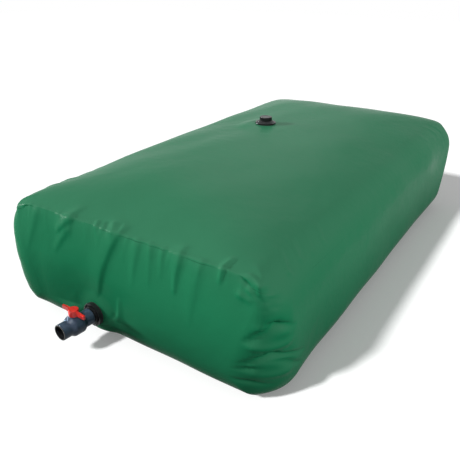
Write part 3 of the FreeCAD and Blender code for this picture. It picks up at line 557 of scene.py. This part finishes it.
def bag(material):
    points, faces, on_panel, crown, on_seam = merged(*bag_mesh())
    points, across, up = folded(points, vertex_normals(points, faces), on_panel, crown)
    points = pulled_to_pad(points, OUTLET, OUTLET_AXIS, OUTLET_PAD, OUTLET_BLEND)
    points = pulled_to_pad(points, VENT, UP, 0, VENT_BLEND)
    open_points = near_fitting(points, OUTLET, OUTLET_AXIS) | near_fitting(points, VENT, UP)
    faces = [face for face in faces if not all(open_points[k] for k in face)]
    item = mesh_object("bag_skin", points, faces, material)
    crease(item.data, on_seam & (up > CREASE_FROM) & ~near_soft_folds(across))
    seam_up = item.data.attributes.new("seam_up", "FLOAT", "POINT")
    seam_up.data.foreach_set("value", up.astype(np.float32))
    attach(item, "tank")
    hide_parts("bladder")


# Pieces turned round an axis

def turned(name, profile, origin, axis, material, steps=64):
    """A surface of revolution from (radius, distance along the axis) points."""
    axis = np.array(axis)
    side = np.cross(axis, [0.0, 0.0, 1.0] if abs(axis[2]) < 0.9 else [1.0, 0.0, 0.0])
    side /= np.linalg.norm(side)
    other = np.cross(axis, side)
    turn = np.arange(steps) * 2 * math.pi / steps
    ring = np.cos(turn)[:, None] * side + np.sin(turn)[:, None] * other
    points = np.concatenate([origin + along * axis + radius * ring for radius, along in profile])
    faces = grid_faces(len(profile), steps, closed=True)
    return mesh_object(name, points, faces, material)


def mouth_thread():
    """The black threaded insert in the valve's mouth."""
    face = VALVE_MOUTH + 0.0003
    profile = [(MOUTH_RIM, face - 0.0012), (MOUTH_RIM - 0.0004, face), (MOUTH_BORE - 0.0006, face)]
    along = face - 0.001
    while along > VALVE_MOUTH - MOUTH_DEPTH:
        profile += [(MOUTH_BORE - 0.0001, along), (MOUTH_BORE - 0.0010, along - THREAD_PITCH / 2)]
        along -= THREAD_PITCH
    item = turned("mouth_thread", profile, OUTLET, OUTLET_AXIS, SLOT_MATERIALS["black_plastic"])
    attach(item, "tank")


def cap_dish():
    """The raised rim and the dished top of the filler cap."""
    low = CAP_TOP - 0.0002
    profile = [(CAP_RIM, low), (CAP_RIM - 0.0008, low + 0.0014), (CAP_RIM - 0.0045, low + 0.0016),
               (CAP_RIM - 0.0065, low + 0.0004), (0.0002, low + 0.0004)]
    item = turned("cap_dish", profile, VENT, UP, SLOT_MATERIALS["black_plastic"])
    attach(item, "cap")


# Materials

class Nodes:
    """Short ways to add and join the nodes of one material."""

    def __init__(self, name, color, roughness):
        self.material = bpy.data.materials.new(name)
        self.material.use_nodes = True
        self.tree = self.material.node_tree
        self.shader = self.tree.nodes["Principled BSDF"]
        self.shader.inputs["Base Color"].default_value = (*color, 1)
        self.shader.inputs["Roughness"].default_value = roughness
        self.place = self.add("ShaderNodeTexCoord").outputs["Object"]

    def add(self, kind, **settings):
        node = self.tree.nodes.new(kind)
        for key, amount in settings.items():
            setattr(node, key, amount)
        return node

    def join(self, start, end):
        self.tree.links.new(start, end)

    def noise(self, scale, detail=3.0):
        """A noise's factor, from 0 to 1, at a scale in features per metre."""
        texture = self.add("ShaderNodeTexNoise")
        texture.inputs["Scale"].default_value = scale
        texture.inputs["Detail"].default_value = detail
        self.join(self.place, texture.inputs["Vector"])
        return texture.outputs["Fac"]

    def ramp(self, factor, *stops):
        """A colour ramp from (position, colour) stops."""
        node = self.add("ShaderNodeValToRGB")
        elements = node.color_ramp.elements
        while len(elements) < len(stops):
            elements.new(0.5)
        for element, (position, color) in zip(elements, stops):
            element.position = position
            element.color = (*color, 1)
        self.join(factor, node.inputs["Fac"])
        return node.outputs["Color"]

    def range(self, factor, low, high, start=0.0, end=1.0):
        node = self.add("ShaderNodeMapRange")
        for key, amount in (("From Min", start), ("From Max", end), ("To Min", low), ("To Max", high)):
            node.inputs[key].default_value = amount
        self.join(factor, node.inputs["Value"])
        return node.outputs["Result"]

    def mix(self, factor, first, second):
        """Blends two colours, each a plain colour or another node's output."""
        node = self.add("ShaderNodeMix", data_type="RGBA")
        self.join(factor, node.inputs["Factor"])
        for name, color in (("A", first), ("B", second)):
            if isinstance(color, tuple):
                node.inputs[name].default_value = (*color, 1)
            else:
                self.join(color, node.inputs[name])
        return node.outputs["Result"]

    def bump(self, height, strength, distance, under=None):
        node = self.add("ShaderNodeBump")
        node.inputs["Strength"].default_value = strength
        node.inputs["Distance"].default_value = distance
        self.join(height, node.inputs["Height"])
        if under:
            self.join(under, node.inputs["Normal"])
        return node.outputs["Normal"]


def sheet_material():
    """Green sheet with faint broad patches of tone, a painted sheen that makes it paler where it faces up,
    painted shade that makes it darker near the ground, and a painted shadow line just under the end seams.
    """
    nodes = Nodes("coated_sheet", (0.012, 0.205, 0.088), 0.30)
    nodes.shader.inputs["Specular IOR Level"].default_value = SHEET_SPECULAR
    color = nodes.ramp(nodes.noise(2.4, detail=4), (0.30, SHEET_DARKER), (0.72, SHEET_LIGHTER))
    height = nodes.add("ShaderNodeSeparateXYZ")
    nodes.join(nodes.place, height.inputs[0])
    # Painted shade: the sheet turns darker towards the ground
    color = nodes.mix(nodes.range(height.outputs["Z"], 0.20, 1.0, 0.0, FOOT_SHADE_HEIGHT), SHEET_PAINTED_FOOT_SHADE, color)
    # Painted sheen: the more the sheet faces up, the paler it is
    upward = nodes.add("ShaderNodeSeparateXYZ")
    nodes.join(nodes.add("ShaderNodeTexCoord").outputs["Normal"], upward.inputs[0])
    color = nodes.mix(nodes.range(upward.outputs["Z"], 0.0, 0.95, -0.05, 0.70), color, SHEET_PAINTED_TOP_SHEEN)
    # Painted shadow: a faint, broken dark line a little under the end seams
    seam = nodes.add("ShaderNodeAttribute", attribute_name="seam_up").outputs["Fac"]
    line = nodes.add("ShaderNodeMath", operation="COMPARE")
    line.inputs[1].default_value = SEAM_LEVEL - SEAM_SHADOW_DROP
    line.inputs[2].default_value = SEAM_SHADOW_REACH
    nodes.join(seam, line.inputs[0])
    faint = nodes.add("ShaderNodeMath", operation="MULTIPLY")
    nodes.join(line.outputs[0], faint.inputs[0])
    nodes.join(nodes.range(nodes.noise(6.0), 0.0, 0.6, 0.45, 0.60), faint.inputs[1])
    color = nodes.mix(faint.outputs[0], color, SHEET_SEAM_SHADOW)
    nodes.join(color, nodes.shader.inputs["Base Color"])
    nodes.join(nodes.range(nodes.noise(9.0, detail=3), *SHEET_GLOSS), nodes.shader.inputs["Roughness"])
    crumple = nodes.bump(nodes.noise(16.0, detail=4), 0.45, 0.005)
    grain = nodes.bump(nodes.noise(420.0, detail=2), 0.03, 0.0005, under=crumple)
    nodes.join(grain, nodes.shader.inputs["Normal"])
    return nodes.material


def plastic(name, color, roughness, shine=0.5, grain=0.05):
    """Moulded plastic: a little uneven in tone and gloss, with a fine grain."""
    nodes = Nodes(name, color, roughness)
    nodes.shader.inputs["Specular IOR Level"].default_value = shine
    darker = tuple(0.82 * c for c in color)
    lighter = tuple(min(1, 1.15 * c) for c in color)
    tone = nodes.ramp(nodes.noise(60.0), (0.3, darker), (0.7, lighter))
    nodes.join(tone, nodes.shader.inputs["Base Color"])
    gloss = nodes.range(nodes.noise(150.0), roughness * 0.85, roughness * 1.2)
    nodes.join(gloss, nodes.shader.inputs["Roughness"])
    nodes.join(nodes.bump(nodes.noise(2600.0, detail=2), grain, 0.0002), nodes.shader.inputs["Normal"])
    return nodes.material


SLOT_MATERIALS = {
    "black_plastic": plastic("black_plastic", (0.012, 0.013, 0.014), 0.42, shine=0.25),
    "grey_plastic": plastic("grey_plastic", (0.052, 0.078, 0.120), 0.34, shine=0.18),
    "red_plastic": plastic("red_plastic", (0.72, 0.030, 0.024), 0.30),
    "seat_plastic": plastic("seat_plastic", (0.80, 0.80, 0.78), 0.35),
    "seal_rubber": plastic("seal_rubber", (0.010, 0.010, 0.010), 0.6),
    "coated_sheet": sheet_material(),
}


def dress_nodes():
    """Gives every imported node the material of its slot."""
    for entry in frame["record"]["subparts"]:
        item = frame["nodes"][entry["node"]]
        item.data.materials.clear()
        item.data.materials.append(SLOT_MATERIALS[entry["material_slot"]])


# Floor, light and camera

def seen_directly(tree):
    """1 for what the camera, a glossy surface or a clear one shows, and 0 for what only lights."""
    path = tree.nodes.new("ShaderNodeLightPath")
    total = path.outputs["Is Camera Ray"]
    for kind in ("Is Glossy Ray", "Is Transmission Ray"):
        either = tree.nodes.new("ShaderNodeMath")
        either.operation = "MAXIMUM"
        tree.links.new(total, either.inputs[0])
        tree.links.new(path.outputs[kind], either.inputs[1])
        total = either.outputs[0]
    return total


def floor():
    """A white floor that shows a plain shadow and throws little light back under the bag."""
    half = FLOOR_HALF
    corners = [(-half, -half, 0), (half, -half, 0), (half, half, 0), (-half, half, 0)]
    item = mesh_object("floor", corners, [(0, 1, 2, 3)])
    nodes = Nodes("floor", (0.80, 0.80, 0.80), 0.9)
    nodes.shader.inputs["Specular IOR Level"].default_value = 0.0
    seen = seen_directly(nodes.tree)
    tone = nodes.ramp(seen, (0.0, (FLOOR_BOUNCE,) * 3), (1.0, (FLOOR_WHITE,) * 3))
    nodes.join(tone, nodes.shader.inputs["Base Color"])
    nodes.shader.inputs["Emission Color"].default_value = (1, 1, 1, 1)
    nodes.join(nodes.range(seen, 0.0, FLOOR_GLOW), nodes.shader.inputs["Emission Strength"])
    item.data.materials.append(nodes.material)
    return item


def world():
    sky = bpy.data.worlds.new("studio")
    bpy.context.scene.world = sky
    sky.use_nodes = True
    tree = sky.node_tree
    background = tree.nodes["Background"]
    background.inputs["Color"].default_value = (1, 1, 1, 1)
    strength = tree.nodes.new("ShaderNodeMapRange")
    strength.inputs["To Min"].default_value = SKY
    strength.inputs["To Max"].default_value = 1.0
    tree.links.new(seen_directly(tree), strength.inputs["Value"])
    tree.links.new(strength.outputs["Result"], background.inputs["Strength"])


def sun(name, lamp, receivers):
    """A soft sun whose light reaches only the given objects."""
    towards, strength, angle = lamp
    data = bpy.data.lights.new(name, "SUN")
    data.energy = strength
    data.angle = math.radians(angle)
    item = bpy.data.objects.new(name, data)
    item.rotation_mode = "QUATERNION"
    item.rotation_quaternion = Vector(towards).to_track_quat("-Z", "Y")
    bpy.context.scene.collection.objects.link(item)
    lit = bpy.data.collections.new(name + "_lit")
    for receiver in receivers:
        lit.objects.link(receiver)
    item.light_linking.receiver_collection = lit


def camera():
    data = bpy.data.cameras.new("camera")
    data.sensor_width = 36
    data.lens = CAMERA_LENS
    item = bpy.data.objects.new("camera", data)
    gaze = CAMERA_TARGET - CAMERA_PLACE
    turned_view = gaze.to_track_quat("-Z", "Y").to_matrix() @ Matrix.Rotation(CAMERA_ROLL, 3, "Z")
    item.matrix_world = Matrix.Translation(CAMERA_PLACE) @ turned_view.to_4x4()
    bpy.context.scene.collection.objects.link(item)
    bpy.context.scene.camera = item
    bpy.context.scene.view_settings.view_transform = "Standard"


dress_nodes()
bag(SLOT_MATERIALS["coated_sheet"])
mouth_thread()
cap_dish()
ground = floor()
world()
shown = [item for item in bpy.context.scene.objects if item.type in {"MESH", "CURVE"} and item != ground]
sheet = [item for item in shown if item.name == "bag_skin"]
fittings = [item for item in shown if item.name != "bag_skin"]
sun("key", KEY, shown)
sun("fill", FILL, sheet)
sun("over", OVER, fittings)
sun("rake", RAKE, sheet)
sun("back", BACK, shown)
sun("floor_sun", FLOOR_SUN, [ground])
camera()
